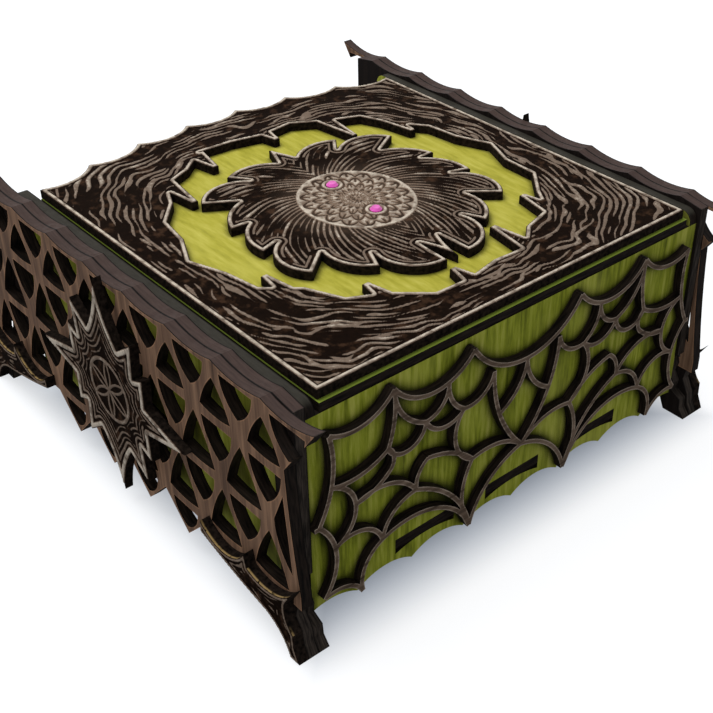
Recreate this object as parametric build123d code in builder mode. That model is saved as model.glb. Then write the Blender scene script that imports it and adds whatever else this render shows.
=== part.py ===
"""Dice box with a hinged lid, cut from flat plywood sheets and glued up in layers.

Millimetres.  X runs across the box, Y from the front (-) to the back (+), Z up.
The origin is on the floor, under the middle of the two side lattices.
"""

import os
from math import cos, radians, sin, sqrt

from build123d import *

# ---------------------------------------------------------------- sheets and fits
wall_ply = 4.0  # walls, base, frames, lattices and feet
face_ply = 3.0  # lid layers, webs and emblems
rest_gap = 0.3  # closed lid over the walls
tab_fit = 0.1  # each side of a tab in its slot
pin_fit = 0.05  # running fit of the hinge pins, on the radius

# ---------------------------------------------------------------- box body
inner_width = 164.6  # between the side walls
front_inset = 15.55  # outer face of the front wall, behind the front horns of the lattices
back_y = 56.0  # outer face of the back wall
wall_top = 81.9  # front and back walls
wall_foot = 9.4  # side walls and the valleys of the skirts
skirt_drop = 3.6  # cusps of the skirts, below the valleys
side_rise = 5.0  # side walls, above the front wall
side_tail = 19.3  # side walls, behind the back wall
ear_radius = 4.0  # upper corners of the side walls
base_z = 13.4  # underside of the base
tab_width = 25.6
tab_pitch = 40.0
slot_sag = 2.0  # how far a slot's lower corners dip below its tab

# ---------------------------------------------------------------- lid
lid_gap = 1.8  # board to side wall
board_front = 0.2  # board behind the outer face of the front wall
board_back_y = 66.0
plate_inset = 0.5  # border plate inside the board, at the sides
plate_setback = 1.6  # border plate behind the board's front edge
tail_crown_y = 79.8  # rearmost reach of the lid's tail
tail_radius = 251.0  # the arc that the tail's cusps follow
tail_scallops = 7
tail_sag = 4.2  # depth of one scallop
opening_y = -9.0  # middle of the ragged opening
opening_half_x = 68.0
opening_half_y = 69.0
medallion_half_x = 54.0
medallion_half_y = 53.0
medallion_valley = 0.74  # roots of the medallion's leaves, as a share of its half sizes
gem_radius = 2.2
gem_height = 1.2
gem_bevel = 0.8
gem_reach = 12.0  # gems in front of and behind the medallion's middle

# ---------------------------------------------------------------- hinge
hinge_y = 63.0
pin_radius = 1.5
pin_grip = 10.0  # length of pin inside its block
pin_end_gap = 0.1
block_length = 12.0
block_depth = 6.0
block_gap = 0.3  # block to side wall

# ---------------------------------------------------------------- side lattices
cell_pitch = 23.9
cells = 9
lattice_top = 89.0  # cusps along the upper edge
lattice_sag = 1.6  # depth of the scallops between them
horn_rise = 1.0  # the outermost cusps stand higher
horn_setback = 14.5  # from the horn's tip back to where it meets the upright edge
horn_drop = 20.2  # from the horn's tip down to there
heel_setback = 9.8  # from the horn's tip back to the lower end of the upright edge
heel_rise = 5.4  # that end above the lowest bar
edge_bow = 0.6
rim = 1.2  # above the top row of holes
bar = 4.2  # level bars between rows
tooth_drop = 12.4  # teeth below the lowest bar
hanging_bulge = 1.8  # how far the sides of a leaf-shaped hole bow out
standing_bulge = 0.9
leaf_sag = 1.0  # how far the lower edge of a standing leaf sags
frame_margin = 2.0  # frame beyond the outermost cusps of the panel, beside the feet
frame_band = 3.0  # top of the frame, below the valleys, and its lap over the wall's back edge
frame_post = 3.0  # front post of the frame, beside the feet

# ---------------------------------------------------------------- emblems
emblem_z = 46.6
emblem_reach_y = 44.8
emblem_reach_z = 42.8

# ---------------------------------------------------------------- feet
toe_reach = 2.3  # toes beyond the heels of the lattices
ankle_inset = 11.7  # inner plates reach this far behind the heels
ankle_lap = 7.0  # and this far above the lowest bars

# ---------------------------------------------------------------- webs
web_foot = 7.4  # lowest cusps
web_head = 79.8  # highest cusps
thread = 1.7
thread_lap = 0.1  # each thread runs this far past its knots
knot_column = 3.68  # the short ties start here, in scallops from the middle
stub_z = 43.4  # short ties from the front web to the side frames

# ---------------------------------------------------------------- derived places
lattice_half = cells * cell_pitch / 2
front_y = front_inset - lattice_half
side_x = inner_width / 2  # inner faces of the side walls
backing_x = side_x + wall_ply
lattice_x = backing_x + wall_ply
outer_x = lattice_x + wall_ply
front_inner_y = front_y + wall_ply
back_inner_y = back_y - wall_ply
base_top = base_z + wall_ply
side_top = wall_top + side_rise
side_back_y = back_y + side_tail
board_z = wall_top + rest_gap
plate_z = board_z + face_ply
plate_top = plate_z + face_ply
board_half = side_x - lid_gap
plate_half = board_half - plate_inset
board_front_y = front_y + board_front
plate_front_y = board_front_y + plate_setback
scallop = 2 * plate_half / tail_scallops
hinge_z = board_z - wall_ply / 2
horn_z = lattice_top + horn_rise
horn_root_y = lattice_half - horn_setback
horn_root_z = horn_z - horn_drop
heel_y = lattice_half - heel_setback


def keep(builder, name):
    """Label one finished piece and write it out."""
    builder.part.label = name
    export_step(builder.part, f"parts/{name}.step")


os.makedirs("parts", exist_ok=True)


# ================================================================ box body
def wall_face(half_width):
    """Front or back wall seen from the front: a scalloped skirt and three tab slots."""
    with BuildSketch() as face:
        with BuildLine() as outline:
            reach = 4 * scallop
            cusp = wall_foot - skirt_drop
            Polyline((-reach, cusp), (-reach, wall_top), (reach, wall_top), (reach, cusp))
            for step in range(-4, 4):
                left = step * scallop
                ThreePointArc((left, cusp), (left + scallop / 2, wall_foot), (left + scallop, cusp))
        make_face()
        with Locations((0, wall_top / 2)):
            Rectangle(2 * half_width, 2 * wall_top, mode=Mode.INTERSECT)
        with BuildSketch(mode=Mode.PRIVATE) as slot:
            half = tab_width / 2
            with BuildLine():
                ThreePointArc((-half, base_z - slot_sag), (0, base_z), (half, base_z - slot_sag))
                Polyline((half, base_z - slot_sag), (half, base_top), (-half, base_top),
                         (-half, base_z - slot_sag))
            make_face()
        with Locations(*[(step * tab_pitch, 0) for step in (-1, 0, 1)]):
            add(slot.sketch, mode=Mode.SUBTRACT)
    return face.sketch


with BuildPart() as base_plate:
    depth = back_inner_y - front_inner_y
    with BuildSketch(Plane.XY.offset(base_z)):
        with Locations((0, (front_inner_y + back_inner_y) / 2)):
            Rectangle(inner_width, depth)
            with GridLocations(tab_pitch, 0, 3, 1):
                Rectangle(tab_width - 2 * tab_fit, depth + 2 * wall_ply)
    extrude(amount=wall_ply)
keep(base_plate, "base_plate")

with BuildPart() as front_wall:
    with BuildSketch(Plane.XZ.offset(-front_inner_y)):
        add(wall_face(backing_x))
    extrude(amount=wall_ply)
keep(front_wall, "front_wall")

with BuildPart() as back_wall:
    with BuildSketch(Plane.XZ.offset(-back_y)):
        add(wall_face(side_x))
    extrude(amount=wall_ply)
keep(back_wall, "back_wall")

for side, sign in (("left", -1), ("right", 1)):
    with BuildPart() as side_wall:
        with BuildSketch(Plane.YZ.offset(sign * side_x)) as profile:
            with BuildLine():
                Polyline((front_inner_y, wall_foot), (front_inner_y, wall_top), (front_y, wall_top),
                         (front_y, side_top), (side_back_y, side_top), (side_back_y, wall_foot),
                         close=True)
            make_face()
            fillet(profile.vertices().group_by(Axis.Y)[-1], ear_radius)
            with Locations((hinge_y, hinge_z)):
                Circle(pin_radius + pin_fit, mode=Mode.SUBTRACT)
        extrude(amount=sign * wall_ply)
    keep(side_wall, f"{side}_wall")


# ================================================================ web over the front wall
def web_point(column, row):
    """Columns are skirt scallops from the middle; rows run from 0 at the foot to 10 at the head."""
    return (column * scallop, web_foot + row * (web_head - web_foot) / 10)


# Each thread of one half of the web is an arc: start, a point on the way, end.
upper_threads = [
    [(3.5, 9.35), (3.0, 9.0), (2.45, 10.0)],
    [(2.45, 10.0), (1.75, 8.8), (1.05, 9.9)],
    [(3.5, 9.35), (3.45, 7.5), (3.7, 5.0)],
    [(3.46, 6.7), (3.0, 6.6), (2.55, 7.15)],
    [(2.45, 10.0), (2.45, 8.4), (2.55, 7.15)],
    [(2.45, 10.0), (2.25, 8.3), (1.9, 7.5)],
    [(1.9, 7.5), (1.65, 7.8), (1.5, 8.84)],
    [(1.5, 8.84), (1.4, 7.7), (1.2, 7.1)],
    [(1.2, 7.1), (0.9, 7.2), (0.65, 8.22)],
    [(1.9, 7.5), (1.6, 6.7), (1.2, 7.1)],
    [(2.55, 7.15), (2.2, 6.5), (1.9, 7.5)],
    [(2.55, 7.15), (2.45, 6.5), (2.55, 5.9)],
    [(2.55, 5.9), (2.8, 5.4), (3.1, 5.2)],
]
middle_threads = [
    [(3.46, 6.7), (3.1, 5.2), (3.45, 3.45)],
    [(3.1, 5.2), (2.45, 5.2), (2.05, 4.1)],
    [(2.05, 4.1), (2.0, 5.0), (1.85, 5.5)],
    [(1.85, 5.5), (1.45, 5.1), (1.0, 4.0)],
    [(1.2, 7.1), (1.35, 5.8), (1.0, 4.0)],
    [(0.65, 8.22), (0.5, 5.7), (0.0, 3.2)],
    [(0.5, 5.7), (0.2, 6.4), (0.0, 7.9)],
    [(1.0, 4.0), (0.6, 4.1), (0.0, 3.2)],
]
lower_threads = [
    [(3.7, 5.0), (3.45, 3.45), (3.65, 0.95)],
    [(3.45, 3.45), (3.0, 3.6), (2.65, 2.4)],
    [(2.65, 2.4), (2.45, 3.6), (2.05, 4.1)],
    [(2.05, 4.1), (1.55, 3.1), (1.0, 0.1)],
    [(1.0, 4.0), (1.15, 2.8), (1.0, 0.1)],
    [(1.0, 0.1), (0.7, 1.9), (0.0, 3.2)],
    [(3.0, 0.1), (2.95, 1.5), (2.65, 2.4)],
    [(2.65, 2.4), (1.9, 2.6), (1.0, 0.1)],
    [(3.65, 0.95), (3.35, 1.0), (3.0, 0.1)],
]


def thread_band(points):
    """One thread: a band of even width along an arc, a little longer than the arc at each end."""
    spine = Edge.make_three_point_arc(*[Vector(*web_point(*point)) for point in points])
    spare = thread_lap / spine.length
    edges = []
    for offset in (-thread / 2, thread / 2):
        edges.append([spine.position_at(share) + spine.tangent_at(share).rotate(Axis.Z, 90) * offset
                      for share in (-spare, 0.5, 1 + spare)])
    with BuildSketch() as band:
        with BuildLine():
            ThreePointArc(*edges[0])
            Line(edges[0][2], edges[1][2])
            ThreePointArc(*edges[1])
            Line(edges[1][0], edges[0][0])
        make_face()
    return band.sketch


def web_face(half_width):
    """Spider-web fretwork as wide as the wall that it covers."""
    with BuildSketch() as half:
        for points in upper_threads + middle_threads + lower_threads:
            add(thread_band(points))
    with BuildSketch() as web:
        add(half.sketch)
        mirror(half.sketch, about=Plane.YZ)
        add(thread_band([(-1.05, 9.9), (0, 8.0), (1.05, 9.9)]))
        with Locations((0, web_head / 2)):
            Rectangle(2 * half_width, 2 * web_head, mode=Mode.INTERSECT)
    return web.sketch


with BuildPart() as front_web:
    with BuildSketch(Plane.XZ.offset(-front_y)):
        add(web_face(backing_x))
        knot_x = knot_column * scallop
        for sign in (-1, 1):
            with Locations((sign * (knot_x + backing_x) / 2, stub_z)):
                Rectangle(backing_x - knot_x, thread)
    extrude(amount=face_ply)
keep(front_web, "front_web")


# ================================================================ side frames and lattices
# Rows of leaf-shaped holes, from the top: the row's height, then for its hanging and its standing
# leaves the gap left at the tip and the margin between the leaf's corner and its cell's edge.
leaf_rows = [
    (16.4, (4.6, 4.0), (3.4, 4.2)),
    (19.0, (5.6, 4.2), (0.8, 3.0)),
    (19.4, (6.0, 4.1), (1.2, 3.6)),
]
tooth_gap, tooth_margin = 3.0, 5.0

valleys = [step * cell_pitch for step in range(-4, 5)]
cusps = [(step + 0.5) * cell_pitch for step in range(-4, 4)]
tooth_cusps = cusps[2:-2]

# Every leaf of a side panel: base, tip, half width and the places along the panel.
leaves = []
row_top = lattice_top - lattice_sag - rim
for row, (height, hanging, standing) in enumerate(leaf_rows):
    row_foot = row_top - height
    across = [valleys[row > 0:len(valleys) - (row > 0)], cusps]
    if row == 1:
        across.reverse()
    leaves.append((row_top, row_foot + hanging[0], cell_pitch / 2 - hanging[1], across[0]))
    leaves.append((row_foot, row_top - standing[0], cell_pitch / 2 - standing[1], across[1]))
    row_top = row_foot - bar
lowest_bar_z = row_top
tooth_z = lowest_bar_z - tooth_drop
heel_z = lowest_bar_z + heel_rise
tooth_leaf = (lowest_bar_z, tooth_z + tooth_gap, cell_pitch / 2 - tooth_margin, tooth_cusps)


def leaf(base, tip, half_width):
    """A leaf-shaped hole: a level base, or a sagging one if it stands, and two bowed sides."""
    standing = tip > base
    up = 1 if standing else -1
    bulge = standing_bulge if standing else hanging_bulge
    height = abs(tip - base)
    slant = sqrt(half_width**2 + height**2)
    bow_y = half_width / 2 + bulge * height / slant
    bow_z = (base + tip) / 2 + up * bulge * half_width / slant
    with BuildSketch() as hole:
        with BuildLine():
            if standing:
                ThreePointArc((-half_width, base), (0, base - leaf_sag), (half_width, base))
            else:
                Line((-half_width, base), (half_width, base))
            ThreePointArc((half_width, base), (bow_y, bow_z), (0, tip))
            ThreePointArc((0, tip), (-bow_y, bow_z), (-half_width, base))
        make_face()
    return hole.sketch


def scalloped_edge(first, last):
    """Arcs from cusp to cusp along the upper edge of a side panel."""
    for step in range(first, last):
        left = (step + 0.5) * cell_pitch
        right = left + cell_pitch
        valley = ((left + right) / 2, lattice_top - lattice_sag)
        ThreePointArc((left, lattice_top), valley, (right, lattice_top))


# The slit inside each upright edge: top, inner corner, a point on its bowed side, foot.
slit_points = [(-6.1, 35.2), (-11.1, 23.6), (-8.7, 13.4), (-3.5, 6.4)]


def lattice_face():
    """The outline of a side lattice with its horns and teeth, less its leaves."""
    inner_horn = (cells / 2 - 1) * cell_pitch
    with BuildSketch() as face:
        with BuildLine():
            scalloped_edge(-4, 3)
            for end in (-1, 1):
                ThreePointArc((end * inner_horn, lattice_top),
                              (end * (inner_horn + cell_pitch / 2), lattice_top - lattice_sag),
                              (end * lattice_half, horn_z))
                Line((end * lattice_half, horn_z), (end * horn_root_y, horn_root_z))
                bow = ((horn_root_y + heel_y) / 2 - edge_bow, (horn_root_z + heel_z) / 2)
                ThreePointArc((end * horn_root_y, horn_root_z), (end * bow[0], bow[1]),
                              (end * heel_y, heel_z))
                Line((end * heel_y, heel_z), (end * heel_y, lowest_bar_z))
            teeth = [(-heel_y, lowest_bar_z)]
            for place in tooth_cusps:
                teeth += [(place - cell_pitch / 2, lowest_bar_z), (place, tooth_z)]
            teeth += [(tooth_cusps[-1] + cell_pitch / 2, lowest_bar_z), (heel_y, lowest_bar_z)]
            Polyline(*teeth)
        make_face()
        for base, tip, half_width, places in leaves + [tooth_leaf]:
            with Locations(*[(place, 0) for place in places]):
                add(leaf(base, tip, half_width), mode=Mode.SUBTRACT)
        for end in (-1, 1):
            top, inner, bowed, foot = [(end * (heel_y + beyond), heel_z + above)
                                       for beyond, above in slit_points]
            with BuildLine() as slit:
                Line(top, inner)
                ThreePointArc(inner, bowed, foot)
                Line(foot, top)
            make_face(slit.edges(), mode=Mode.SUBTRACT)
    return face.sketch


backing_half = (cells / 2 - 1) * cell_pitch + frame_margin
window_top = lattice_top - lattice_sag - frame_band
window_front = frame_post - backing_half
window_back = side_back_y - frame_band
post_foot = lowest_bar_z + ankle_lap + tab_fit


def backing_face():
    """The frame that holds a lattice off its wall: scalloped above, a post at each end, open below.

    Beside the ankles of the feet the posts are narrower.
    """
    valley = lattice_top - lattice_sag
    with BuildSketch() as face:
        with BuildLine():
            scalloped_edge(-4, 3)
            Polyline((backing_half - frame_margin, lattice_top), (horn_root_y, valley),
                     (horn_root_y, post_foot), (backing_half, post_foot),
                     (backing_half, lowest_bar_z), (-backing_half, lowest_bar_z),
                     (-backing_half, post_foot), (-horn_root_y, post_foot),
                     (-horn_root_y, valley), (frame_margin - backing_half, lattice_top))
        make_face()
        with Locations(((window_front + window_back) / 2, 0)):
            Rectangle(window_back - window_front, 2 * window_top, mode=Mode.SUBTRACT)
    return face.sketch


# One quarter of the compass star, from its long upright point to its long level point, as shares
# of the star's reach along and up: a tall and a short spike stand between them.
star_quarter = [(0.0, 1.0), (0.11, 0.64), (0.21, 0.48), (0.42, 0.635), (0.39, 0.32), (0.52, 0.375),
                (0.51, 0.12), (1.0, 0.0)]


def star_face():
    """A compass star with two spikes in each quarter."""
    with BuildSketch() as star:
        for flip_y in (-1, 1):
            for flip_z in (-1, 1):
                upright, bow, notch, *spikes = [(flip_y * along * emblem_reach_y,
                                                 emblem_z + flip_z * up * emblem_reach_z)
                                                for along, up in star_quarter]
                with BuildLine() as quarter:
                    ThreePointArc(upright, bow, notch)
                    Polyline(notch, *spikes, (0, emblem_z), upright)
                make_face(quarter.edges())
    return star.sketch


# Outlines of the three plates of a foot, run by run: two points make a line and three an arc.
# A point is a distance beyond the heel of the lattice and a share of the height of its lowest bar.
under_bar = 1 - tab_fit / lowest_bar_z
ankle_top = 1 + ankle_lap / lowest_bar_z
leaf_plate = [
    [(-47.6, 1.048), (-47.4, 1.287)],
    [(-47.4, 1.287), (-37.2, 1.021), (-23.6, 1.436)],
    [(-23.6, 1.436), (-22.5, 1.16)],
    [(-22.5, 1.16), (-13.2, 1.08), (0.7, 1.521)],
    [(0.7, 1.521), (-3.5, 1.144)],
    [(-3.5, 1.144), (-3.6, 0.851), (-0.2, 0.559)],
    [(-0.2, 0.559), (0.0, 0.266)],
    [(0.0, 0.266), (toe_reach, 0)],
    [(toe_reach, 0), (-2.1, 0)],
    [(-2.1, 0), (-6.1, 0.351), (-13.7, 0.596)],
    [(-13.7, 0.596), (-29.7, 0.777), (-47.6, 1.048)],
]
middle_plate = [
    [(-13.7, 0.628), (-13.7, under_bar)],
    [(-13.7, under_bar), (-2.4, under_bar)],
    [(-2.4, under_bar), (-3.4, 0.745)],
    [(-3.4, 0.745), (-0.4, 0.447)],
    [(-0.4, 0.447), (0.2, 0.223)],
    [(0.2, 0.223), (toe_reach, 0)],
    [(toe_reach, 0), (-6.4, 0)],
    [(-6.4, 0), (-8.4, 0.394), (-13.7, 0.628)],
]
inner_plate = [
    [(-ankle_inset, 0.5), (-ankle_inset, ankle_top)],
    [(-ankle_inset, ankle_top), (-7.4, ankle_top)],
    [(-7.4, ankle_top), (-5.9, 1.096)],
    [(-5.9, 1.096), (-6.8, 0.904)],
    [(-6.8, 0.904), (-4.6, 0.713)],
    [(-4.6, 0.713), (-5.0, 0.521)],
    [(-5.0, 0.521), (-0.8, 0.404)],
    [(-0.8, 0.404), (-0.4, 0.181)],
    [(-0.4, 0.181), (toe_reach, 0)],
    [(toe_reach, 0), (-7.4, 0)],
    [(-7.4, 0), (-ankle_inset, 0.5)],
]


def plate_face(runs, end):
    """One plate of a foot, at the back end (1) or the front end (-1) of a side."""
    with BuildSketch() as face:
        with BuildLine():
            for run in runs:
                points = [(end * (heel_y + beyond), up * lowest_bar_z) for beyond, up in run]
                if len(points) == 2:
                    Line(*points)
                else:
                    ThreePointArc(*points)
        make_face()
    return face.sketch


lattice_outline = lattice_face()
backing_outline = backing_face()
star_outline = star_face()

for side, sign in (("left", -1), ("right", 1)):
    with BuildPart() as backing:
        with BuildSketch(Plane.YZ.offset(sign * backing_x)):
            add(backing_outline)
        extrude(amount=sign * wall_ply)
    keep(backing, f"{side}_backing")

    with BuildPart() as lattice:
        with BuildSketch(Plane.YZ.offset(sign * lattice_x)):
            add(lattice_outline)
        extrude(amount=sign * wall_ply)
    keep(lattice, f"{side}_lattice")

    with BuildPart() as emblem:
        with BuildSketch(Plane.YZ.offset(sign * outer_x)):
            add(star_outline)
        extrude(amount=sign * face_ply)
    keep(emblem, f"{side}_emblem")

    # Each foot is a stack of three plates, in line with the backing, the lattice and the emblem.
    plates = (("inner", backing_x, inner_plate), ("middle", lattice_x, middle_plate),
              ("leaf", outer_x, leaf_plate))
    for end_name, end in (("front", -1), ("back", 1)):
        for plate, place, runs in plates:
            with BuildPart() as foot:
                with BuildSketch(Plane.YZ.offset(sign * place)):
                    add(plate_face(runs, end))
                extrude(amount=sign * wall_ply)
            keep(foot, f"{side}_{end_name}_foot_{plate}")


# ================================================================ lid
def tail_y(x):
    """Where the tail's cusps lie, across the lid."""
    return tail_crown_y - tail_radius + sqrt(tail_radius**2 - x**2)


with BuildPart() as lid_board:
    with BuildSketch(Plane.XY.offset(board_z)):
        with Locations((0, board_front_y)):
            Rectangle(2 * board_half, board_back_y - board_front_y, align=(Align.CENTER, Align.MIN))
    extrude(amount=face_ply)
keep(lid_board, "lid_board")

# The ragged rim of the opening, as shares of its half sizes every 12 degrees.
rim_reach = [0.98, 0.92, 0.96, 0.93, 1.0, 0.95, 0.97, 0.9, 0.94, 0.99,
             0.93, 0.97, 0.91, 0.95, 0.92, 0.99, 0.94, 0.97, 0.9, 0.96,
             0.93, 0.99, 0.95, 0.91, 0.96, 0.9, 0.97, 0.94, 0.98, 0.92]
# Fangs that stand into the opening: place across the lid, back (1) or front (-1) rim, length.
fangs = [(-44, 1, 20), (-23, 1, 14), (8, 1, 13), (33, 1, 21), (53, 1, 15),
         (-55, -1, 18), (-34, -1, 13), (-7, -1, 11), (22, -1, 19), (46, -1, 14)]
fang_width = 8.0
fang_point = 2.4

with BuildPart() as lid_border:
    with BuildSketch(Plane.XY.offset(plate_z)):
        with BuildLine():
            cusp_x = [-plate_half + step * scallop for step in range(tail_scallops + 1)]
            for left, right in zip(cusp_x, cusp_x[1:]):
                middle = (tail_y(left) + tail_y(right)) / 2 - tail_sag
                ThreePointArc((left, tail_y(left)), ((left + right) / 2, middle),
                              (right, tail_y(right)))
            Polyline((plate_half, tail_y(plate_half)), (plate_half, plate_front_y),
                     (-plate_half, plate_front_y), (-plate_half, tail_y(plate_half)))
        make_face()
        with Locations((0, opening_y)):
            with BuildSketch(mode=Mode.PRIVATE) as opening:
                with BuildLine():
                    rim_points = []
                    for step, reach in enumerate(rim_reach):
                        turn = radians(360 * step / len(rim_reach))
                        rim_points.append((reach * opening_half_x * cos(turn),
                                           reach * opening_half_y * sin(turn)))
                    Polyline(*rim_points, close=True)
                make_face()
                for x, end, length in fangs:
                    root = end * opening_half_y * sqrt(1 - (x / opening_half_x) ** 2)
                    tip = root - end * length
                    with BuildLine() as fang:
                        Polyline((x - fang_width / 2, root), (x + fang_width / 2, root),
                                 (x + fang_point / 2, tip), (x - fang_point / 2, tip), close=True)
                    make_face(fang.edges(), mode=Mode.SUBTRACT)
            add(opening.sketch, mode=Mode.SUBTRACT)
    extrude(amount=face_ply)
keep(lid_border, "lid_border")

# A leafy medallion: on each half, leaves whose tips hook towards the front, round an oval, and
# a spike at the back and at the front.  Angles are in degrees from the back.
leaf_count = 7
leaf_spread = 24  # from one leaf to the next
first_root = 6  # the root of the first leaf
leaf_hook = 25  # from the root of a leaf to its tip
leaf_brow = 9  # from the root of a leaf to the brow of its outer edge
brow_reach = 0.94  # the brow, as a share of the leaf's reach
leaf_reach = [0.9, 0.98, 0.86, 0.88, 0.98, 0.9, 1.0]
back_spike, front_spike = 0.94, 1.0
spike_turn, spike_waist = 2.3, 0.85  # the narrow place halfway up each spike


def crest_point(turn, reach):
    """A point of the medallion, at an angle from the back and a share of its half sizes."""
    angle = radians(turn)
    return (reach * medallion_half_x * sin(angle), reach * medallion_half_y * cos(angle))


def crest_half():
    """The right half of the medallion's outline, closed along its middle line."""
    last_root = first_root + leaf_spread * leaf_count
    with BuildSketch() as half:
        with BuildLine():
            ThreePointArc(crest_point(0, back_spike), crest_point(spike_turn, spike_waist),
                          crest_point(first_root, medallion_valley))
            for step, reach in enumerate(leaf_reach):
                root = first_root + leaf_spread * step
                tip = crest_point(root + leaf_hook, reach)
                brow = crest_point(root + leaf_brow, brow_reach * reach)
                ThreePointArc(crest_point(root, medallion_valley), brow, tip)
                Line(tip, crest_point(root + leaf_spread, medallion_valley))
            ThreePointArc(crest_point(last_root, medallion_valley),
                          crest_point(180 - spike_turn, spike_waist), crest_point(180, front_spike))
            Line(crest_point(180, front_spike), crest_point(0, back_spike))
        make_face()
    return half.sketch


with BuildPart() as lid_medallion:
    with BuildSketch(Plane.XY.offset(plate_z)):
        with Locations((0, opening_y)):
            right_half = crest_half()
            add(right_half)
            add(mirror(right_half, about=Plane.YZ, mode=Mode.PRIVATE))
    extrude(amount=face_ply)
keep(lid_medallion, "lid_medallion")

for name, sign in (("front_gem", -1), ("back_gem", 1)):
    with BuildPart() as gem:
        with BuildSketch(Plane.XY.offset(plate_top)):
            with Locations((0, opening_y + sign * gem_reach)):
                Circle(gem_radius)
        extrude(amount=gem_height)
        chamfer(gem.edges().group_by(Axis.Z)[-1], gem_bevel)
    keep(gem, name)

# ================================================================ hinge
for side, sign in (("left", -1), ("right", 1)):
    with BuildPart() as block:
        with BuildSketch(Plane.YZ.offset(sign * (side_x - block_gap))):
            with Locations((hinge_y, hinge_z)):
                Rectangle(block_depth, wall_ply)
        extrude(amount=-sign * block_length)
        with BuildSketch(Plane.YZ.offset(sign * (side_x - block_gap))):
            with Locations((hinge_y, hinge_z)):
                Circle(pin_radius)
        extrude(amount=-sign * pin_grip, mode=Mode.SUBTRACT)
    keep(block, f"{side}_hinge_block")

    with BuildPart() as pin:
        with BuildSketch(Plane.YZ.offset(sign * (side_x - block_gap - pin_grip))):
            with Locations((hinge_y, hinge_z)):
                Circle(pin_radius)
        extrude(amount=sign * (pin_grip + block_gap + wall_ply - pin_end_gap))
    keep(pin, f"{side}_hinge_pin")
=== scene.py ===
"""Dice box with a hinged lid: materials, engraved relief, stage, lights and camera."""

from collections import Counter
from math import pi, radians

import bpy
import numpy as np
from mathutils import Matrix, Vector


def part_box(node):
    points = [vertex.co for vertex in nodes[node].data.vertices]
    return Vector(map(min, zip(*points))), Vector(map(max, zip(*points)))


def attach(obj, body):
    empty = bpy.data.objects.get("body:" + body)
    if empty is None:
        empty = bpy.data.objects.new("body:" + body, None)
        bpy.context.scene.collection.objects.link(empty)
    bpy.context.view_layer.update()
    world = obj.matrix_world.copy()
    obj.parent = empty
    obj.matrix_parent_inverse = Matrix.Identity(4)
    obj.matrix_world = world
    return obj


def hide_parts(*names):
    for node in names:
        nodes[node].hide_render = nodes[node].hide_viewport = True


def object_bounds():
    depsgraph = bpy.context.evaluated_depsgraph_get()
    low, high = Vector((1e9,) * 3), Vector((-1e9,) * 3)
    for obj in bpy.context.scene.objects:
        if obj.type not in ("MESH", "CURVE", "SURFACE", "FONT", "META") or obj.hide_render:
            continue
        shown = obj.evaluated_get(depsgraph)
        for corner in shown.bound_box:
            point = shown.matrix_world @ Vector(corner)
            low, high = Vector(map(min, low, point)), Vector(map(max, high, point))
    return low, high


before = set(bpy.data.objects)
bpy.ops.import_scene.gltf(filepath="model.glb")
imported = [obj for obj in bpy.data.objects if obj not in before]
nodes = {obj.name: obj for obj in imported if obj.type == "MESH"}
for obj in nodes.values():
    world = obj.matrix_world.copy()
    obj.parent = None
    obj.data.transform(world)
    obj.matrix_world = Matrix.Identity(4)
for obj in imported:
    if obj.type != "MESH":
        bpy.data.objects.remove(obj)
cad_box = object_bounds()

MM = 0.001
RELIEF = 0.42 * MM  # the highest lines of the engraving over its ground
RELIEF_FLOOR = 0.05  # the ground over the burnt plate, as a share of that
CARVING = RELIEF * (1 + RELIEF_FLOOR)  # how far a carved foot is sunk


def middle(node):
    """The middle of a node's box."""
    low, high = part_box(node)
    return tuple((a + b) / 2 for a, b in zip(low, high))


def extent(node):
    """The size of a node's box."""
    low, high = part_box(node)
    return tuple(b - a for a, b in zip(low, high))


def face_level(node, axis, sign, sunk=0.0):
    """Where a node's outer face lies along an axis, moved in by how far it is sunk."""
    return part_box(node)[sign > 0][axis] - sign * sunk


# ================================================================ shader helpers
MIX_INPUTS = (0, 6, 7)  # the factor and the two colours of a colour mix, by index
MIX_RESULT = 2
BEVEL_SAMPLES = 6
SHADE_SAMPLES = 8


def srgb(red, green, blue):
    """A colour given in display levels from 0 to 255, as linear values."""
    def linear(level):
        level /= 255
        return level / 12.92 if level <= 0.04045 else ((level + 0.055) / 1.055) ** 2.4

    return (linear(red), linear(green), linear(blue), 1.0)


def cells(per_metre, axis=None, along=None):
    """Noise cells per metre on each axis, with another number along one of them."""
    scale = [per_metre] * 3
    if axis is not None:
        scale[axis] = along
    return scale


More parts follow.
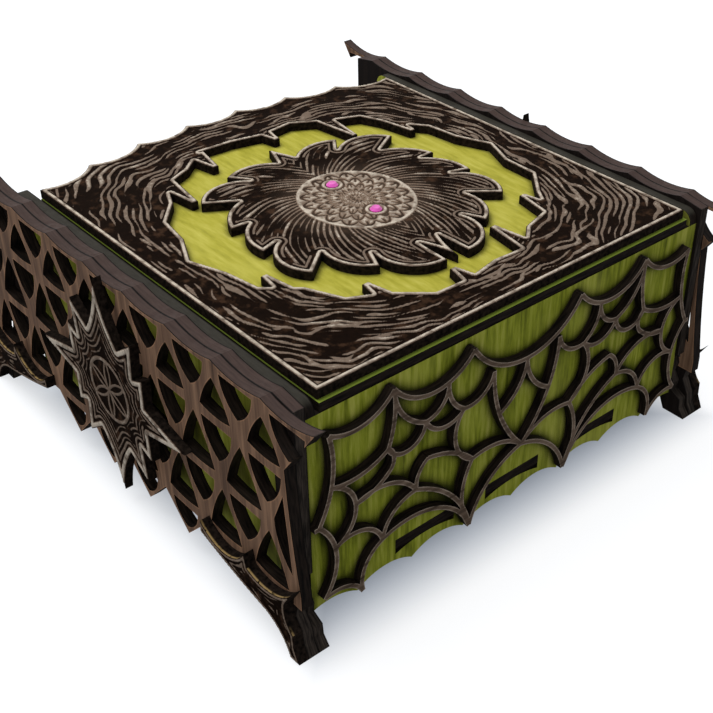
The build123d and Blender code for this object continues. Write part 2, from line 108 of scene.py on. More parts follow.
class Shader:
    """A material whose nodes are added one call at a time."""

    def __init__(self, name, roughness, specular):
        self.material = bpy.data.materials.new(name)
        self.material.use_nodes = True
        self.tree = self.material.node_tree
        self.surface = self.tree.nodes["Principled BSDF"]
        self.surface.inputs["Roughness"].default_value = roughness
        self.surface.inputs["Specular IOR Level"].default_value = specular
        self.place = self.add("ShaderNodeTexCoord").outputs["Object"]
        self.normal = self.add("ShaderNodeTexCoord").outputs["Normal"]

    def add(self, kind, inputs=None, **settings):
        """A node with its settings, and its inputs linked to sockets or set to values."""
        made = self.tree.nodes.new(kind)
        for key, value in settings.items():
            setattr(made, key, value)
        for key, value in (inputs or {}).items():
            if isinstance(value, bpy.types.NodeSocket):
                self.tree.links.new(value, made.inputs[key])
            else:
                made.inputs[key].default_value = value
        return made

    def math(self, operation, *values):
        return self.add("ShaderNodeMath", dict(enumerate(values)), operation=operation).outputs[0]

    def parts(self, vector):
        """The X, Y and Z of a vector."""
        return self.add("ShaderNodeSeparateXYZ", {"Vector": vector}).outputs

    def noise(self, scale, detail, roughness=0.55):
        """Noise from 0 to 1 over the object, with its cells per metre on each axis."""
        mapping = self.add("ShaderNodeMapping", {"Vector": self.place, "Scale": scale})
        made = self.add("ShaderNodeTexNoise", {"Vector": mapping.outputs["Vector"], "Scale": 1.0,
                                               "Detail": detail, "Roughness": roughness})
        return made.outputs["Fac"]

    def ramp(self, factor, stops):
        """A colour ramp with two stops or more, each a position and a colour."""
        made = self.add("ShaderNodeValToRGB", {"Fac": factor})
        elements = made.color_ramp.elements
        while len(elements) < len(stops):
            elements.new(0.5)
        for element, (position, colour) in zip(elements, stops):
            element.position = position
            element.color = colour
        return made.outputs["Color"]

    def step(self, value, low, high):
        """A smooth step from 0 at low to 1 at high, which may be the smaller of the two."""
        made = self.add("ShaderNodeMapRange", {"Value": value, "From Min": low, "From Max": high},
                        interpolation_type="SMOOTHSTEP")
        return made.outputs["Result"]

    def mix(self, factor, first, second):
        """The first colour where the factor is 0, the second where it is 1."""
        made = self.add("ShaderNodeMix", dict(zip(MIX_INPUTS, (factor, first, second))), data_type="RGBA")
        return made.outputs[MIX_RESULT]

    def colour(self, socket):
        self.tree.links.new(socket, self.surface.inputs["Base Color"])

    def rough(self, socket):
        self.tree.links.new(socket, self.surface.inputs["Roughness"])

    def bump(self, height, strength, distance):
        made = self.add("ShaderNodeBump", {"Height": height, "Strength": strength, "Distance": distance})
        self.tree.links.new(made.outputs["Normal"], self.surface.inputs["Normal"])

    def facing(self, axis):
        """1 where the surface faces along this axis of the object, 0 on the cut edges."""
        return self.step(self.math("ABSOLUTE", self.parts(self.normal)[axis]), 0.6, 0.8)

    def upward(self):
        """1 where the surface faces up in the object's own frame."""
        return self.step(self.parts(self.normal)[2], 0.5, 0.9)

    def sharp(self, radius):
        """1 along the sharp edges, 0 further from them than a radius."""
        rounded = self.add("ShaderNodeBevel", {"Radius": radius}, samples=BEVEL_SAMPLES)
        true = self.add("ShaderNodeNewGeometry").outputs["True Normal"]
        turn = self.add("ShaderNodeVectorMath", {0: rounded.outputs["Normal"], 1: true},
                        operation="DOT_PRODUCT")
        return self.step(turn.outputs["Value"], 0.99, 0.9)

    def sheltered(self, distance):
        """1 in the corners beside other pieces, where shade falls, 0 in the open."""
        shade = self.add("ShaderNodeAmbientOcclusion", {"Distance": distance}, samples=SHADE_SAMPLES)
        return self.step(shade.outputs["AO"], 0.95, 0.45)


# ================================================================ colours
SOOT = srgb(9, 7, 6)
CHAR = srgb(42, 34, 29)
BURNT = (SOOT, CHAR)  # the streaks of a cut edge
HANDLED = (srgb(20, 17, 15), srgb(70, 62, 56))  # the same where hands have worn it

# Dyes of the plywood: dark, middle and light.
GREEN_BOARD = (srgb(150, 146, 46), srgb(178, 172, 66), srgb(198, 192, 92))
GREEN_WALL = (srgb(84, 92, 20), srgb(154, 162, 50), srgb(198, 198, 96))
GREEN_SIDE = (srgb(116, 122, 34), srgb(176, 180, 68), srgb(206, 208, 104))
BROWN = (srgb(72, 54, 43), srgb(131, 102, 82), srgb(182, 145, 116))
TAUPE = (srgb(58, 47, 38), srgb(100, 83, 70), srgb(136, 118, 102))
NIGHT = (srgb(16, 13, 12), srgb(28, 23, 21), srgb(44, 37, 34))

# Upper edges with the soot wiped off.
GREY_TOP = (srgb(34, 33, 29), srgb(62, 59, 52))
PURPLE_TOP = (srgb(44, 35, 33), srgb(82, 67, 62))
PALE_TOP = (srgb(120, 108, 98), srgb(176, 164, 152))

# Painted highlight on faces along their sharp edges, and the bare margin of the lid board.
BROWN_HIGHLIGHT = srgb(168, 128, 98)
TAUPE_HIGHLIGHT = srgb(176, 160, 144)
GREEN_MARGIN = srgb(126, 144, 52)

# Engraving: the ground and its flecks, the raised lines, the rubbed rims, and the gilding.
GROUND = (srgb(3, 1, 0), srgb(26, 15, 8))
FLECKS = srgb(60, 42, 30)
LINES = (srgb(88, 74, 63), srgb(138, 121, 107))
RUBBED = (srgb(112, 98, 86), srgb(200, 188, 172))
WARM_WOOD = srgb(130, 110, 94)
GILT = srgb(164, 138, 92)

MAGENTA = (srgb(196, 24, 150), srgb(236, 70, 196))
STEEL = (srgb(140, 142, 146), srgb(186, 188, 192))


# ================================================================ materials
RUBBED_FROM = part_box("left_wall")[1][2] - 3 * MM  # only edges above this height are wiped clean
# width of the painted highlight along sharp edges, and of the dark seams on wiped tops
EDGE_WIDTH = 0.9 * MM
SEAM_SOOT_AND_SHADE = 0.8  # how dark the sharp edges of a wiped top stay: burnt edges, and painted shade along the seams
GLUE_LINE = 0.11  # half the dark line between two glued sheets, as a share of a sheet
WARM_REACH = 34 * MM  # the warm wood of the medallion, from its middle
GILT_START = 0.9 * MM  # gilding inside the carved face of a foot
GILT_FULL = 0.4 * MM


def wiped_tops(shader, edge, streaks, rubbed):
    """The colour of the cut edges with the soot wiped off the tops, but not along their sharp edges, where
    burnt edge and painted shade in the seams stay dark.
    """
    height = shader.parts(shader.place)[2]
    high_up = shader.step(height, RUBBED_FROM, RUBBED_FROM + MM)
    # Painted shade: the sharp edges and seams of a wiped top stay dark.
    clean = shader.math("MULTIPLY_ADD", shader.sharp(EDGE_WIDTH), -SEAM_SOOT_AND_SHADE, 1.0)
    wiped = shader.math("MULTIPLY", shader.math("MULTIPLY", shader.upward(), high_up), clean)
    return shader.mix(wiped, edge, shader.mix(streaks, *rubbed))


def glue_lines(shader, edge):
    """The colour of the cut edges with soot between the sheets that are glued up at the sides."""
    low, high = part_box("right_backing")
    across = shader.math("ABSOLUTE", shader.parts(shader.place)[0])
    sheets = shader.math("DIVIDE", shader.math("SUBTRACT", across, low[0]), high[0] - low[0])
    glued = shader.step(shader.math("PINGPONG", sheets, 0.5), GLUE_LINE, GLUE_LINE / 3)
    return shader.mix(glued, edge, SOOT)


def charred(shader, flat_axis, face_colour, burn, rubbed=None):
    """The face colour on the flat sides, and fine laser-burnt streaks on the cut edges.

    burn is the pair of colours of the streaks, and rubbed that of the wiped upper edges.
    """
    streaks = shader.noise(cells(150.0, flat_axis, 1500.0), detail=3.0)
    edge = shader.ramp(streaks, [(0.35, burn[0]), (0.7, burn[1])])
    if rubbed:
        edge = wiped_tops(shader, edge, streaks, rubbed)
    if flat_axis == 0:
        edge = glue_lines(shader, edge)
    shader.colour(shader.mix(shader.facing(flat_axis), edge, face_colour))


def outside_plate(shader):
    """1 on top of the lid board where the border plate leaves a margin."""
    low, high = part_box("lid_border")
    parts = shader.parts(shader.place)
    sideways = shader.math("SUBTRACT", shader.math("ABSOLUTE", parts[0]), high[0])
    forward = shader.math("SUBTRACT", low[1], parts[1])
    beyond = shader.step(shader.math("MAXIMUM", sideways, forward), -MM, 0.0)
    return shader.math("MULTIPLY", beyond, shader.upward())


def stained_ply(name, flat_axis, grain_axis, tints, rubbed=None, blotch=0.35, fibre=22.0, edge_highlight=None,
                painted_shade=None, margin=None, burn=BURNT):
    """Dyed plywood: long grain streaks, brush strokes and blotches of dye, and burnt edges.

    blotch is the strength of the strokes, and fibre the cells of grain per metre along the grain.
    edge_highlight is the colour of the painted highlight along the face's sharp edges.  painted_shade is
    how far from its neighbours the face is darkened by painted shade, and how much.  margin is the colour
    of what lies outside the border plate of the lid.
    """
    shader = Shader(name, roughness=0.62, specular=0.05)
    grain = shader.noise(cells(420.0, grain_axis, fibre), detail=4.0, roughness=0.65)
    strokes = shader.noise(cells(150.0, grain_axis, 16.0), detail=2.0)
    blotches = shader.noise(cells(28.0), detail=3.0)
    dark, mid, light = tints
    face = shader.ramp(grain, [(0.28, dark), (0.5, mid), (0.72, light)])
    face = shader.mix(shader.math("MULTIPLY", strokes, blotch), face, dark)
    face = shader.mix(shader.step(blotches, 0.45, 0.75), face, shader.mix(0.35, face, light))
    if margin:
        face = shader.mix(outside_plate(shader), face, margin)
    # Painted shade: the face turns to soot colour in the corners beside other pieces, by ambient
    # occlusion.
    if painted_shade:
        face = shader.mix(shader.math("MULTIPLY", shader.sheltered(painted_shade[0]), painted_shade[1]), face, SOOT)
    # Painted highlight: a paler colour along the sharp edges, broken up by the grain.
    if edge_highlight:
        edge_mask = shader.math("MULTIPLY", shader.sharp(EDGE_WIDTH), shader.step(grain, 0.3, 0.6))
        face = shader.mix(edge_mask, face, edge_highlight)
    charred(shader, flat_axis, face, burn, rubbed)
    shader.rough(shader.step(grain, -0.6, 1.4))
    shader.bump(grain, 0.25, 0.15 * MM)
    return shader.material


def engraved_ply(name, node, axis, sign, warm=None, sunk=0.0):
    """Engraved ply: burnt ground between raised lines, paler the higher they stand.

    warm is the reach and the colour of the paler wood round the middle of the face.
    """
    shader = Shader(name, roughness=0.6, specular=0.01)
    height = shader.math("SUBTRACT", shader.parts(shader.place)[axis], face_level(node, axis, sign, sunk))
    height = shader.math("MULTIPLY", height, sign / RELIEF)
    fibre = shader.noise(cells(650), detail=4.0, roughness=0.65)
    uneven = shader.math("MULTIPLY", shader.math("SUBTRACT", fibre, 0.5), 0.5)
    height = shader.math("ADD", height, uneven)
    flecks = shader.noise(cells(280), detail=4.0)
    ground = shader.mix(shader.step(flecks, 0.5, 0.74), shader.mix(fibre, *GROUND), FLECKS)
    lines = shader.mix(fibre, *LINES)
    if warm:
        reach, wood = warm
        offset = shader.add("ShaderNodeVectorMath", {0: shader.place, 1: middle(node)},
                            operation="DISTANCE")
        near = shader.step(offset.outputs["Value"], reach, reach / 4)
        lines = shader.mix(near, lines, wood)
        ground = shader.mix(shader.math("MULTIPLY", near, 0.3), ground, wood)
    face = shader.mix(shader.step(height, 0.25, 0.5), ground, lines)
    rubbed = shader.mix(shader.step(flecks, 0.3, 0.6), *RUBBED)
    shader.colour(shader.mix(shader.step(height, 0.75, 1.0), face, rubbed))
    shader.bump(fibre, 0.4, 0.08 * MM)
    return shader.material


def burnt_ply(name, gilt=None):
    """The plate under an engraving: burnt all over, and gilt along the outer edge of a foot's top."""
    shader = Shader(name, roughness=0.75, specular=0.02)
    streaks = shader.noise(cells(700), detail=3.0)
    face = shader.ramp(streaks, [(0.35, SOOT), (0.7, CHAR)])
    if gilt:
        across = shader.math("ABSOLUTE", shader.parts(shader.place)[0])
        carved = cad_box[1][0] - CARVING
        outer = shader.step(across, carved - GILT_START, carved - GILT_FULL)
        edge_mask = shader.math("MULTIPLY", outer, shader.upward())
        face = shader.mix(shader.math("MULTIPLY", edge_mask, shader.step(streaks, 0.3, 0.5)), face, gilt)
    shader.colour(face)
    shader.bump(streaks, 0.3, 0.1 * MM)
    return shader.material


def gem_material():
    """Polished magenta resin with faint clouds inside."""
    shader = Shader("gem_resin", roughness=0.12, specular=0.6)
    depths = shader.noise(cells(350), detail=2.0)
    shader.colour(shader.ramp(depths, [(0.3, MAGENTA[0]), (0.7, MAGENTA[1])]))
    shader.surface.inputs["Coat Weight"].default_value = 0.6
    shader.surface.inputs["Coat Roughness"].default_value = 0.05
    return shader.material


def steel_material():
    """Drawn steel wire, finely scratched along its length."""
    shader = Shader("pin_wire", roughness=0.35, specular=0.5)
    shader.surface.inputs["Metallic"].default_value = 1.0
    scratches = shader.noise(cells(3000, 0, 60), detail=3.0)
    shader.colour(shader.ramp(scratches, [(0.3, STEEL[0]), (0.7, STEEL[1])]))
    shader.bump(scratches, 0.2, 0.02 * MM)
    return shader.material


def paint(node, material):
    """Puts a material on every slot of a CAD node."""
    for slot in nodes[node].material_slots:
        slot.material = material


# The board: painted shade beside the border plate.
board_ply = stained_ply("board_ply", 2, 1, GREEN_BOARD, blotch=0.2, fibre=70.0, painted_shade=(3 * MM, 0.6),
                        margin=GREEN_MARGIN)
# The front wall: painted shade beside the web's threads, standing in partly for laser smoke.
front_ply = stained_ply("front_ply", 1, 2, GREEN_WALL, rubbed=GREY_TOP, fibre=40.0, painted_shade=(7 * MM, 0.92))
# The side walls: painted shade behind the lattice.
side_ply = stained_ply("side_ply", 0, 2, GREEN_SIDE, rubbed=GREY_TOP, painted_shade=(6 * MM, 0.55))
base_ply = stained_ply("base_ply", 2, 1, GREEN_WALL)
backing_ply = stained_ply("backing_ply", 0, 2, NIGHT, rubbed=PURPLE_TOP, burn=HANDLED)
lattice_ply = stained_ply("lattice_ply", 0, 2, BROWN, rubbed=PURPLE_TOP, blotch=0.7, edge_highlight=BROWN_HIGHLIGHT)
web_ply = stained_ply("web_ply", 1, 0, TAUPE, rubbed=PALE_TOP, edge_highlight=TAUPE_HIGHLIGHT)
foot_ply = stained_ply("foot_ply", 0, 2, NIGHT, burn=HANDLED)
block_ply = stained_ply("block_ply", 0, 1, NIGHT)
burnt = burnt_ply("burnt_ply")
gilt_foot = burnt_ply("gilt_foot", gilt=GILT)
gem_resin = gem_material()
pin_wire = steel_material()

paint("lid_board", board_ply)
paint("base_plate", base_ply)
paint("front_wall", front_ply)
paint("back_wall", front_ply)
paint("front_web", web_ply)
paint("lid_border", burnt)
paint("lid_medallion", burnt)
paint("front_gem", gem_resin)
paint("back_gem", gem_resin)
for side in ("left", "right"):
    paint(f"{side}_wall", side_ply)
    paint(f"{side}_backing", backing_ply)
    paint(f"{side}_lattice", lattice_ply)
    paint(f"{side}_emblem", burnt)
    paint(f"{side}_hinge_block", block_ply)
    paint(f"{side}_hinge_pin", pin_wire)
    for end in ("front", "back"):
        paint(f"{side}_{end}_foot_inner", foot_ply)
        paint(f"{side}_{end}_foot_middle", foot_ply)
        paint(f"{side}_{end}_foot_leaf", gilt_foot)


# ================================================================ engraved relief
# Reliefs are worked out in millimetres in the plane of a face: u and v are its two axes.
GRID = 0.4  # the mesh of a relief
RIM_INSET = 0.1  # a relief starts this far inside the plate's edge
RIM_FALL = 0.4  # width of the slope on the inner side of a raised rim
NOISE_TABLE = 64  # cells before the noise repeats
SAME_LEVEL = 1e-3  # points this close along an axis lie on one face

BORDER_REACH = 70  # from the middle of the opening, where the way round the border is measured
BARK_PITCH = 2.3  # fine strata of the border
STROKE_PITCH = 4.3  # bold strokes among them
STRATA_PITCH = 2.3  # on the feet
BREAKING = 2.4  # how much stronger the breaks are than the lines

FIRST_LEAF = 19  # degrees from the back of the medallion to the middle of its first leaf
LEAF_SPREAD = 24  # degrees from leaf to leaf
LEAF_REACH = 0.95  # where these are measured, as a share of the medallion's half size
LEAF_CURL = 60  # degrees that the strands turn from the middle of the medallion to its edge
STRANDS = 5  # in each leaf
FLOWER = 0.42  # reach of the flower of scales, as a share of the medallion's half size
SCALE_ROWS, SCALE_COUNT = 12, 9  # rows to the medallion's edge, and scales in half a turn
BEZEL = 3.2  # radius of the ring round a gem
BEZEL_REACH = 4.6  # and of the bare disc that it lies on

HEX_RING = 11.6  # radius of the ring round the hexafoil
# The lines that follow the edge of an emblem: distance from the edge, width and height of each.
ECHOES = ((3.5, 0.9, 0.75), (5.3, 0.7, 0.45), (7.2, 0.8, 0.55), (9.2, 0.7, 0.4))


def smooth(value, low, high):
    """A smooth step from 0 at low to 1 at high."""
    share = np.clip((value - low) / (high - low), 0, 1)
    return share * share * (3 - 2 * share)


def ridge(value, width, soft=0.25):
    """1 where a value is within half a width of 0, with soft sides."""
    return 1 - smooth(np.abs(value), width / 2 - soft, width / 2 + soft)


def clouds(u, v, seed):
    """Smooth noise from 0 to 1 with cells one unit wide."""
    table = np.random.default_rng(seed).random((NOISE_TABLE, NOISE_TABLE))
    row, column = np.floor(u).astype(int), np.floor(v).astype(int)
    along, across = smooth(u - row, 0, 1), smooth(v - column, 0, 1)

    def corner(down, right):
        return table[(row + down) % NOISE_TABLE, (column + right) % NOISE_TABLE]

    near = corner(0, 0) * (1 - along) + corner(1, 0) * along
    far = corner(0, 1) * (1 - along) + corner(1, 1) * along
    return near * (1 - across) + far * across


def wander(u, v, reach, seed):
    """The same noise as an offset to both sides of 0."""
    return reach * (clouds(u, v, seed) - 0.5)


def face_outline(node, axis, sign):
    """The outline of a node's outer face along one axis: the starts and ends of its edges, in mm."""
    mesh = nodes[node].data
    places = [tuple(round(c / MM, 4) for c in vertex.co) for vertex in mesh.vertices]
    level = max(sign * place[axis] for place in places)
    across = [other for other in range(3) if other != axis]
    uses = Counter()
    for polygon in mesh.polygons:
        corners = [places[index] for index in polygon.vertices]
        if all(abs(sign * corner[axis] - level) < SAME_LEVEL for corner in corners):
            corners = [tuple(corner[other] for other in across) for corner in corners]
            for start, end in zip(corners, corners[1:] + corners[:1]):
                uses[tuple(sorted((start, end)))] += 1
    edges = np.array([edge for edge, count in uses.items() if count == 1])
    return edges[:, 0], edges[:, 1]


def depth_inside(points, outline):
    """How far inside an outline each point lies, less than 0 outside, and the nearest place on it."""
    gaps = np.full(len(points), np.inf)
    nearest = np.zeros_like(points)
    inside = np.zeros(len(points), bool)
    for start, end in zip(*outline):
        run = end - start
        share = np.clip((points - start) @ run / (run @ run), 0, 1)
        foot = start + share[:, None] * run
        gap = ((points - foot) ** 2).sum(axis=1)
        closer = gap < gaps
        gaps[closer], nearest[closer] = gap[closer], foot[closer]
        if run[1]:
            crossing = start[0] + run[0] * (points[:, 1] - start[1]) / run[1]
            spans = (start[1] > points[:, 1]) != (end[1] > points[:, 1])
            inside ^= spans & (points[:, 0] < crossing)
    return np.where(inside, 1, -1) * np.sqrt(gaps), nearest


def grid_inside(outline):
    """The points and four-sided faces of a grid, as far as the outline reaches."""
    low, high = np.vstack(outline).min(axis=0), np.vstack(outline).max(axis=0)
    counts = np.ceil((high - low) / GRID).astype(int) + 2
    u, v = (low[k] + GRID * (np.arange(counts[k]) - 0.5) for k in (0, 1))
    points = np.stack(np.meshgrid(u, v, indexing="ij"), axis=-1).reshape(-1, 2)
    index = np.arange(len(points)).reshape(counts)
    quads = np.stack([index[:-1, :-1], index[1:, :-1], index[1:, 1:], index[:-1, 1:]], axis=-1)
    quads = quads.reshape(-1, 4)
    quads = quads[depth_inside(points[quads].mean(axis=1), outline)[0] > 0]
    used, quads = np.unique(quads, return_inverse=True)
    return points[used], quads.reshape(-1, 4)


def emboss(name, node, axis, sign, profile, body, warm=None, sunk=0.0):
    """A skin over a node's outer face, raised by profile(u, v, depth), a height from 0 to 1."""
    outline = face_outline(node, axis, sign)
    points, quads = grid_inside(outline)
    if (sign < 0) != (axis == 1):
        quads = quads[:, ::-1]
    depth, nearest = depth_inside(points, outline)
    border = np.bincount(quads.ravel(), minlength=len(points)) < 4
    inward = (points - nearest) * np.sign(depth)[:, None]
    inward /= np.maximum(np.linalg.norm(inward, axis=1), 1e-6)[:, None]
    points[border] = (nearest + RIM_INSET * inward)[border]
    depth[border] = RIM_INSET
    raised = np.where(border, 0, profile(points[:, 0], points[:, 1], depth))
    heights = face_level(node, axis, sign, sunk) + sign * RELIEF * (RELIEF_FLOOR + raised)
    places = np.insert(points * MM, axis, heights, axis=1)
    mesh = bpy.data.meshes.new(f"{name}_relief")
    mesh.from_pydata(places.tolist(), [], quads.tolist())
    mesh.polygons.foreach_set("use_smooth", [True] * len(mesh.polygons))
    mesh.materials.append(engraved_ply(f"{name}_art", node, axis, sign, warm, sunk))
    piece = bpy.data.objects.new(f"{name}_relief", mesh)
    bpy.context.scene.collection.objects.link(piece)
    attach(piece, body)


def recess(node, axis, sign, depth, body):
    """Stands for a node with its outer face moved in, so that a relief on it stays within the node."""
    piece = bpy.data.objects.new(f"{node}_core", nodes[node].data.copy())
    level = face_level(node, axis, sign)
    for vertex in piece.data.vertices:
        if abs(vertex.co[axis] - level) < depth / 2:
            vertex.co[axis] -= sign * depth
    bpy.context.scene.collection.objects.link(piece)
    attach(piece, body)
    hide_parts(node)


def raised_rim(depth, crest, width):
    """A rim along an outline, full height from the crest on and as wide as given."""
    return smooth(depth, RIM_INSET, crest) * (1 - smooth(depth, width - RIM_FALL, width))


def framed(depth, inner):
    """A relief with a raised rim along the outline and a groove inside the rim."""
    groove = 1 - smooth(depth, 1.9, 2.4)
    return np.maximum(raised_rim(depth, 0.5, 1.7), inner * (1 - groove))


def broken_lines(value, pitch, breaks):
    """Lines a pitch apart, broken where the breaks fall under 0."""
    return smooth(np.cos(2 * pi * value / pitch) + BREAKING * breaks, 0.45, 1.1)


def bark(u, v, depth):
    """Broken strata that run round the opening, as on rock or bark, with bolder strokes among them."""
    u0, v0 = (c / MM for c in middle("lid_medallion")[:2])
    across, along = np.abs(u - u0), np.abs(v - v0)
    sway = wander(u / 13, v / 17, 5.0, 1) + wander(u / 5, v / 8, 2.2, 2)
    reach = (across**3 + along**3) ** (1 / 3) + sway
    turn = np.arctan2(v - v0, u - u0) * BORDER_REACH
    breaks = clouds(turn / 9, reach / 2.4, 3) + 0.5 * clouds(turn / 4, reach / 1.2, 4) - 0.82
    lines = (0.5 + 0.4 * clouds(turn / 15, reach / 6, 11)) * broken_lines(reach, BARK_PITCH, breaks)
    reach = reach + wander(u / 16, v / 12, 7.0, 21) + wander(u / 6, v / 5, 2.4, 22)
    breaks = clouds(turn / 8, reach / 4, 23) + 0.5 * clouds(turn / 3.5, reach / 2, 24) - 0.95
    strokes = 0.75 * broken_lines(reach, STROKE_PITCH, breaks)
    return framed(depth, np.maximum(lines, strokes))


def scales(share, turn):
    """Rows of rounded scales with grooves between them, as on a flower's heart."""
    ring = share * SCALE_ROWS
    row = np.floor(ring)
    petal = (turn / 180 * SCALE_COUNT + row / 2) % 1 - 0.5
    scale = ring - row - 0.75 * (1 - (2 * petal) ** 2)
    return 0.85 * (1 - np.maximum(ridge(scale, 0.3, 0.1), ridge(petal, 0.14, 0.05) * (scale < 0)))


def leafage(u, v, depth):
    """Strands that curl out of a flower of scales into the leaves, with a bezel round each gem."""
    u0, v0 = (c / MM for c in middle("lid_medallion")[:2])
    half_u, half_v = (size / 2 / MM for size in extent("lid_medallion")[:2])
    x, y = (u - u0) / half_u, (v - v0) / half_v
    share = np.hypot(x, y)
    turn = np.degrees(np.arctan2(np.abs(x), y))
    leaf = (turn - FIRST_LEAF + LEAF_CURL * (LEAF_REACH - share)) / LEAF_SPREAD
    sway = wander(leaf * 1.3, share * 5, 0.9, 7)
    breaks = clouds(leaf * 4, share * 11, 8)
    wave = np.cos(2 * pi * (leaf * STRANDS + sway)) + 1.6 * (breaks - 0.5)
    strands = (0.55 + 0.35 * breaks) * smooth(wave, 0.1, 0.9)
    echo = 0.7 * ridge(depth - 3.0, 0.8) * smooth(clouds(u / 5, v / 5, 12), 0.2, 0.4)
    leaves = np.where(depth < 3.8, echo, strands)
    collar = ridge((share - FLOWER) * half_v, 1.4)
    inner = np.maximum(np.where(share < FLOWER, scales(share, turn), leaves), collar)
    gems = (middle("front_gem"), middle("back_gem"))
    gem = np.min([np.hypot(u - c[0] / MM, v - c[1] / MM) for c in gems], axis=0)
    return framed(depth, np.where(gem < BEZEL_REACH, ridge(gem - BEZEL, 1.2), inner))


def strata(u, v, depth):
    """Bark on the feet: broken lines that follow the plate's edge."""
    wave = np.cos(2 * pi * (depth / STRATA_PITCH + wander(u / 6, v / 4, 0.9, 9)))
    wave += 2.0 * (clouds(u / 4, v / 2.5, 10) - 0.6)
    return np.maximum(0.75 * raised_rim(depth, 0.4, 1.2), 0.55 * smooth(wave, 0.2, 0.9) * (depth > 1.2))


def hexafoil(node):
    """The profile of an emblem: lines that follow its edge, and a hexafoil drawn with compasses."""
    u0, v0 = (c / MM for c in middle(node)[1:])

    def profile(u, v, depth):
        reach = np.hypot(u - u0, v - v0)
        waved = depth + wander(u / 5, v / 5, 0.6, 5)
        echo = np.maximum.reduce([height * ridge(waved - place, width) for place, width, height in ECHOES])
        echo *= smooth(clouds(u / 4, v / 4, 6), 0.12, 0.3) * smooth(reach, HEX_RING + 1, HEX_RING + 1.6)
        petals = []
        for turn in np.arange(6) * pi / 3 + pi / 6:
            x, y = u - u0 - HEX_RING * np.cos(turn), v - v0 - HEX_RING * np.sin(turn)
            petals.append(ridge(np.hypot(x, y) - HEX_RING, 0.9))
        flower = 0.7 * np.maximum.reduce(petals) * (1 - smooth(reach, HEX_RING - 0.4, HEX_RING))
        ring = 0.75 * ridge(reach - HEX_RING, 1.3)
        return np.maximum.reduce([raised_rim(depth, 0.4, 2.2), echo * (depth > 2.2), flower, ring])

    return profile


emboss("border", "lid_border", 2, 1, bark, "lid")
emboss("medallion", "lid_medallion", 2, 1, leafage, "lid", warm=(WARM_REACH, WARM_WOOD))
for side, sign in (("left", -1), ("right", 1)):
    node = f"{side}_emblem"
    emboss(node, node, 0, sign, hexafoil(node), "box")
    for end in ("front", "back"):
        node = f"{side}_{end}_foot_leaf"
        emboss(node, node, 0, sign, strata, "box", sunk=CARVING)
        recess(node, 0, sign, CARVING, "box")


# ================================================================ stage, light and camera
FLOOR_HALF = 4.0
FLOOR_DROP = 0.2 * MM  # below the feet
FLOOR_PAPER = (0.29, 0.305, 0.33, 1.0)
SHADOW_TINT = srgb(198, 210, 228)
WHITE = srgb(255, 255, 255)
SHADOW_FROM, SHADOW_TO = -32 * MM, 6 * MM  # the floor's painted shadow fades to white between these, from the CAD's box
SHADOW_GLOW = 0.26  # what the floor adds to its light under the box
OPEN_GLOW = 0.55  # and how much more away from it

SKY_LIGHT = 0.4  # the sky as a light, where it is 1 as a background
LIT_POINT = (0, 0, 0.04)

SENSOR_WIDTH = 36.0
LENS_PIXELS = 1214.4  # focal length in pixels of a frame 713 wide
FRAME_PIXELS = 713
CENTRE_PIXEL_X = 407.9
CAMERA_PLACE = (-0.2391, -0.3042, 0.2842)
CAMERA_AZIMUTH = 41.95
CAMERA_PITCH = 34.76
CAMERA_ROLL = 0.66


def floor_paper():
    """White paper to the camera, with a painted shadow: greyer and bluer under the box and close to it."""
    paper = Shader("floor_paper", roughness=0.9, specular=0.1)
    paper.surface.inputs["Base Color"].default_value = FLOOR_PAPER
    parts = paper.parts(paper.place)
    reach = [paper.math("SUBTRACT", paper.math("ABSOLUTE", parts[k]), cad_box[1][k]) for k in (0, 1)]
    # Painted shadow: the glow is dimmed and tinted blue under the box and close to it.
    open_floor = paper.step(paper.math("MAXIMUM", *reach), SHADOW_FROM, SHADOW_TO)
    paper.tree.links.new(paper.mix(open_floor, SHADOW_TINT, WHITE), paper.surface.inputs["Emission Color"])
    glow = paper.math("MULTIPLY_ADD", open_floor, OPEN_GLOW, SHADOW_GLOW)
    seen = paper.add("ShaderNodeLightPath").outputs["Is Camera Ray"]
    paper.tree.links.new(paper.math("MULTIPLY", glow, seen), paper.surface.inputs["Emission Strength"])
    return paper.material


def stage_floor():
    """A white floor that keeps the object's shadow, with a painted shadow round the box as well."""
    mesh = bpy.data.meshes.new("floor")
    corners = [(x * FLOOR_HALF, y * FLOOR_HALF, 0) for x, y in ((-1, -1), (1, -1), (1, 1), (-1, 1))]
    mesh.from_pydata(corners, [], [(0, 1, 2, 3)])
    floor = bpy.data.objects.new("floor", mesh)
    bpy.context.scene.collection.objects.link(floor)
    floor.location.z = -FLOOR_DROP
    mesh.materials.append(floor_paper())


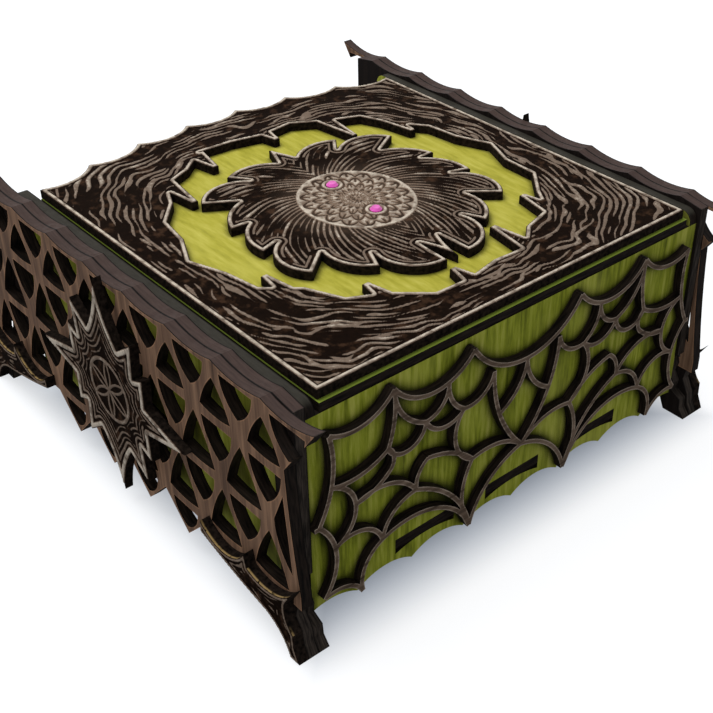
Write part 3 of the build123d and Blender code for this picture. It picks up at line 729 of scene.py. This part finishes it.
def stage_world():
    """A sky that is white to the camera and in reflections, and dimmer as a light."""
    world = bpy.data.worlds.new("studio")
    bpy.context.scene.world = world
    world.use_nodes = True
    tree = world.node_tree
    background = tree.nodes["Background"]
    background.inputs["Color"].default_value = WHITE
    path = tree.nodes.new("ShaderNodeLightPath")
    seen = tree.nodes.new("ShaderNodeMath")
    seen.operation = "MAXIMUM"
    tree.links.new(path.outputs["Is Camera Ray"], seen.inputs[0])
    tree.links.new(path.outputs["Is Glossy Ray"], seen.inputs[1])
    level = tree.nodes.new("ShaderNodeMix")
    level.inputs[2].default_value = SKY_LIGHT
    level.inputs[3].default_value = 1.0
    tree.links.new(seen.outputs[0], level.inputs[0])
    tree.links.new(level.outputs[0], background.inputs["Strength"])


def softbox(name, place, size, power):
    """A square lamp that faces the object."""
    light = bpy.data.lights.new(name, "AREA")
    light.shape = "SQUARE"
    light.size = size
    light.energy = power
    lamp = bpy.data.objects.new(name, light)
    bpy.context.scene.collection.objects.link(lamp)
    lamp.location = place
    lamp.rotation_euler = (Vector(LIT_POINT) - Vector(place)).to_track_quat("-Z", "Y").to_euler()


def stage_camera():
    """The camera that took the photograph, as fitted to the object's straight edges."""
    data = bpy.data.cameras.new("camera")
    data.sensor_width = SENSOR_WIDTH
    data.lens = LENS_PIXELS / FRAME_PIXELS * data.sensor_width
    data.shift_x = 0.5 - CENTRE_PIXEL_X / FRAME_PIXELS
    data.clip_start = 10 * MM
    camera = bpy.data.objects.new("camera", data)
    bpy.context.scene.collection.objects.link(camera)
    turn = Matrix.Rotation(radians(-CAMERA_AZIMUTH), 4, "Z")
    tilt = Matrix.Rotation(radians(90 - CAMERA_PITCH), 4, "X")
    roll = Matrix.Rotation(radians(CAMERA_ROLL), 4, "Z")
    camera.matrix_world = Matrix.Translation(CAMERA_PLACE) @ turn @ tilt @ roll
    bpy.context.scene.camera = camera


stage_floor()
stage_world()
softbox("overhead", place=(-0.15, 0.35, 1.1), size=0.9, power=9.5)
softbox("front_fill", place=(-0.9, -0.7, 0.7), size=0.8, power=2.5)
stage_camera()
bpy.context.scene.view_settings.view_transform = "Standard"
